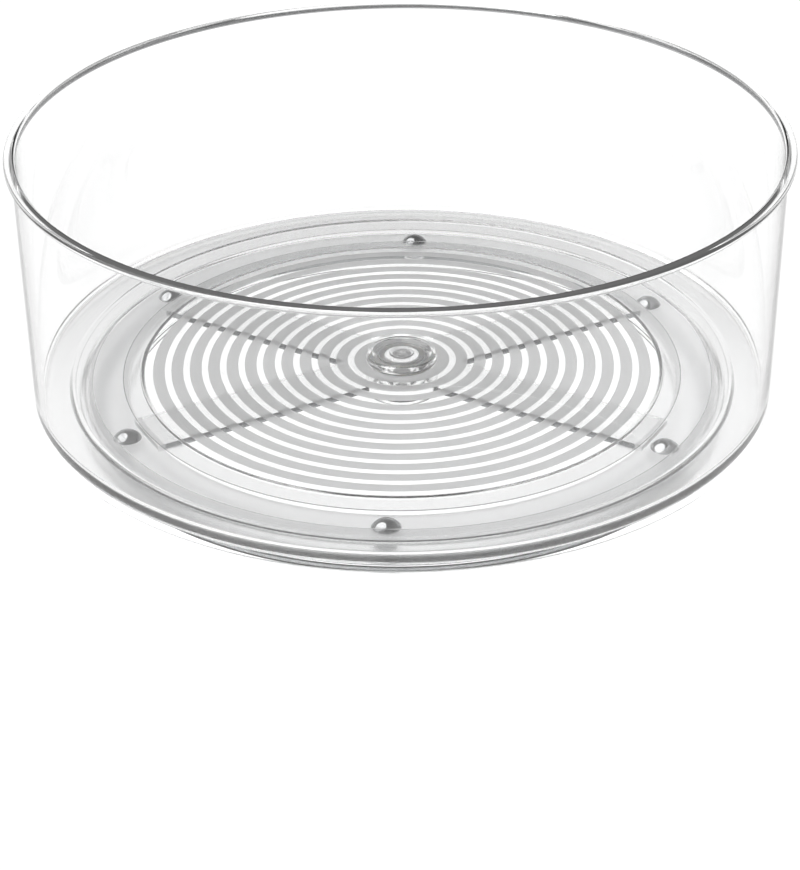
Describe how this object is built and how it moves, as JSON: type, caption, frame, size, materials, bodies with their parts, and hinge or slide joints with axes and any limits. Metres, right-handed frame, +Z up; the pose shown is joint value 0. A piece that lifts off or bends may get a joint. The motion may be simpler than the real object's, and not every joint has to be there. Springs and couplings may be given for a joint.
{
  "type": "lazy susan turntable",
  "caption": "Clear round turntable bin with a tall wall and rounded lip, on a ring of steel balls over a flat clear base.",
  "frame": {"origin": "middle of the circle that the turntable stands on, at table height", "axes": "+Z up, along the axis that the tray turns on"},
  "size_m": [0.3, 0.3, 0.115],
  "materials": {
    "clear_tray": "clear moulded styrene, gloss, with frosted ring bands under the floor",
    "clear_base": "clear moulded styrene, gloss",
    "clear_cage": "clear moulded styrene, gloss arms and a satin ring",
    "ball_steel": "polished bearing steel",
    "washer_nylon": "natural nylon, translucent",
    "clear_rivet": "clear moulded plastic, gloss",
    "clear_pin": "clear moulded plastic, gloss",
    "grip_rubber": "translucent non-slip rubber, satin"
  },
  "bodies": {
    "stand": {"base": "clear_base", "grip_ring": "grip_rubber", "thrust_washer": "washer_nylon", "rivet_body": "clear_rivet", "rivet_pin": "clear_pin"},
    "tray": {"tray": "clear_tray"},
    "cage": {"ball_cage": "clear_cage"},
    "ball_1": {"ball_1": "ball_steel"},
    "ball_2": {"ball_2": "ball_steel"},
    "ball_3": {"ball_3": "ball_steel"},
    "ball_4": {"ball_4": "ball_steel"},
    "ball_5": {"ball_5": "ball_steel"},
    "ball_6": {"ball_6": "ball_steel"}
  },
  "joints": [
    {"name": "tray_spin", "type": "hinge", "parent": "stand", "child": "tray", "pos_m": [0, 0, 0.0163], "axis": [0, 0, 1], "continuous": true},
    {"name": "cage_spin", "type": "hinge", "parent": "stand", "child": "cage", "pos_m": [0, 0, 0.013], "axis": [0, 0, 1], "continuous": true},
    {"name": "ball_1_roll", "type": "hinge", "parent": "cage", "child": "ball_1", "pos_m": [0.10532, 0.05366, 0.0086], "axis": [0.891, 0.454, 0], "continuous": true},
    {"name": "ball_2_roll", "type": "hinge", "parent": "cage", "child": "ball_2", "pos_m": [0.00619, 0.11804, 0.0086], "axis": [0.0523, 0.9986, 0], "continuous": true},
    {"name": "ball_3_roll", "type": "hinge", "parent": "cage", "child": "ball_3", "pos_m": [-0.09913, 0.06438, 0.0086], "axis": [-0.8387, 0.5446, 0], "continuous": true},
    {"name": "ball_4_roll", "type": "hinge", "parent": "cage", "child": "ball_4", "pos_m": [-0.10532, -0.05366, 0.0086], "axis": [-0.891, -0.454, 0], "continuous": true},
    {"name": "ball_5_roll", "type": "hinge", "parent": "cage", "child": "ball_5", "pos_m": [-0.00619, -0.11804, 0.0086], "axis": [-0.0523, -0.9986, 0], "continuous": true},
    {"name": "ball_6_roll", "type": "hinge", "parent": "cage", "child": "ball_6", "pos_m": [0.09913, -0.06438, 0.0086], "axis": [0.8387, -0.5446, 0], "continuous": true}
  ],
  "couplings": [
    {"joint": "cage_spin", "follows": "tray_spin", "ratio": 0.5},
    {"joint": "ball_1_roll", "follows": "tray_spin", "ratio": -9.3071},
    {"joint": "ball_2_roll", "follows": "tray_spin", "ratio": -9.3071},
    {"joint": "ball_3_roll", "follows": "tray_spin", "ratio": -9.3071},
    {"joint": "ball_4_roll", "follows": "tray_spin", "ratio": -9.3071},
    {"joint": "ball_5_roll", "follows": "tray_spin", "ratio": -9.3071},
    {"joint": "ball_6_roll", "follows": "tray_spin", "ratio": -9.3071}
  ]
}
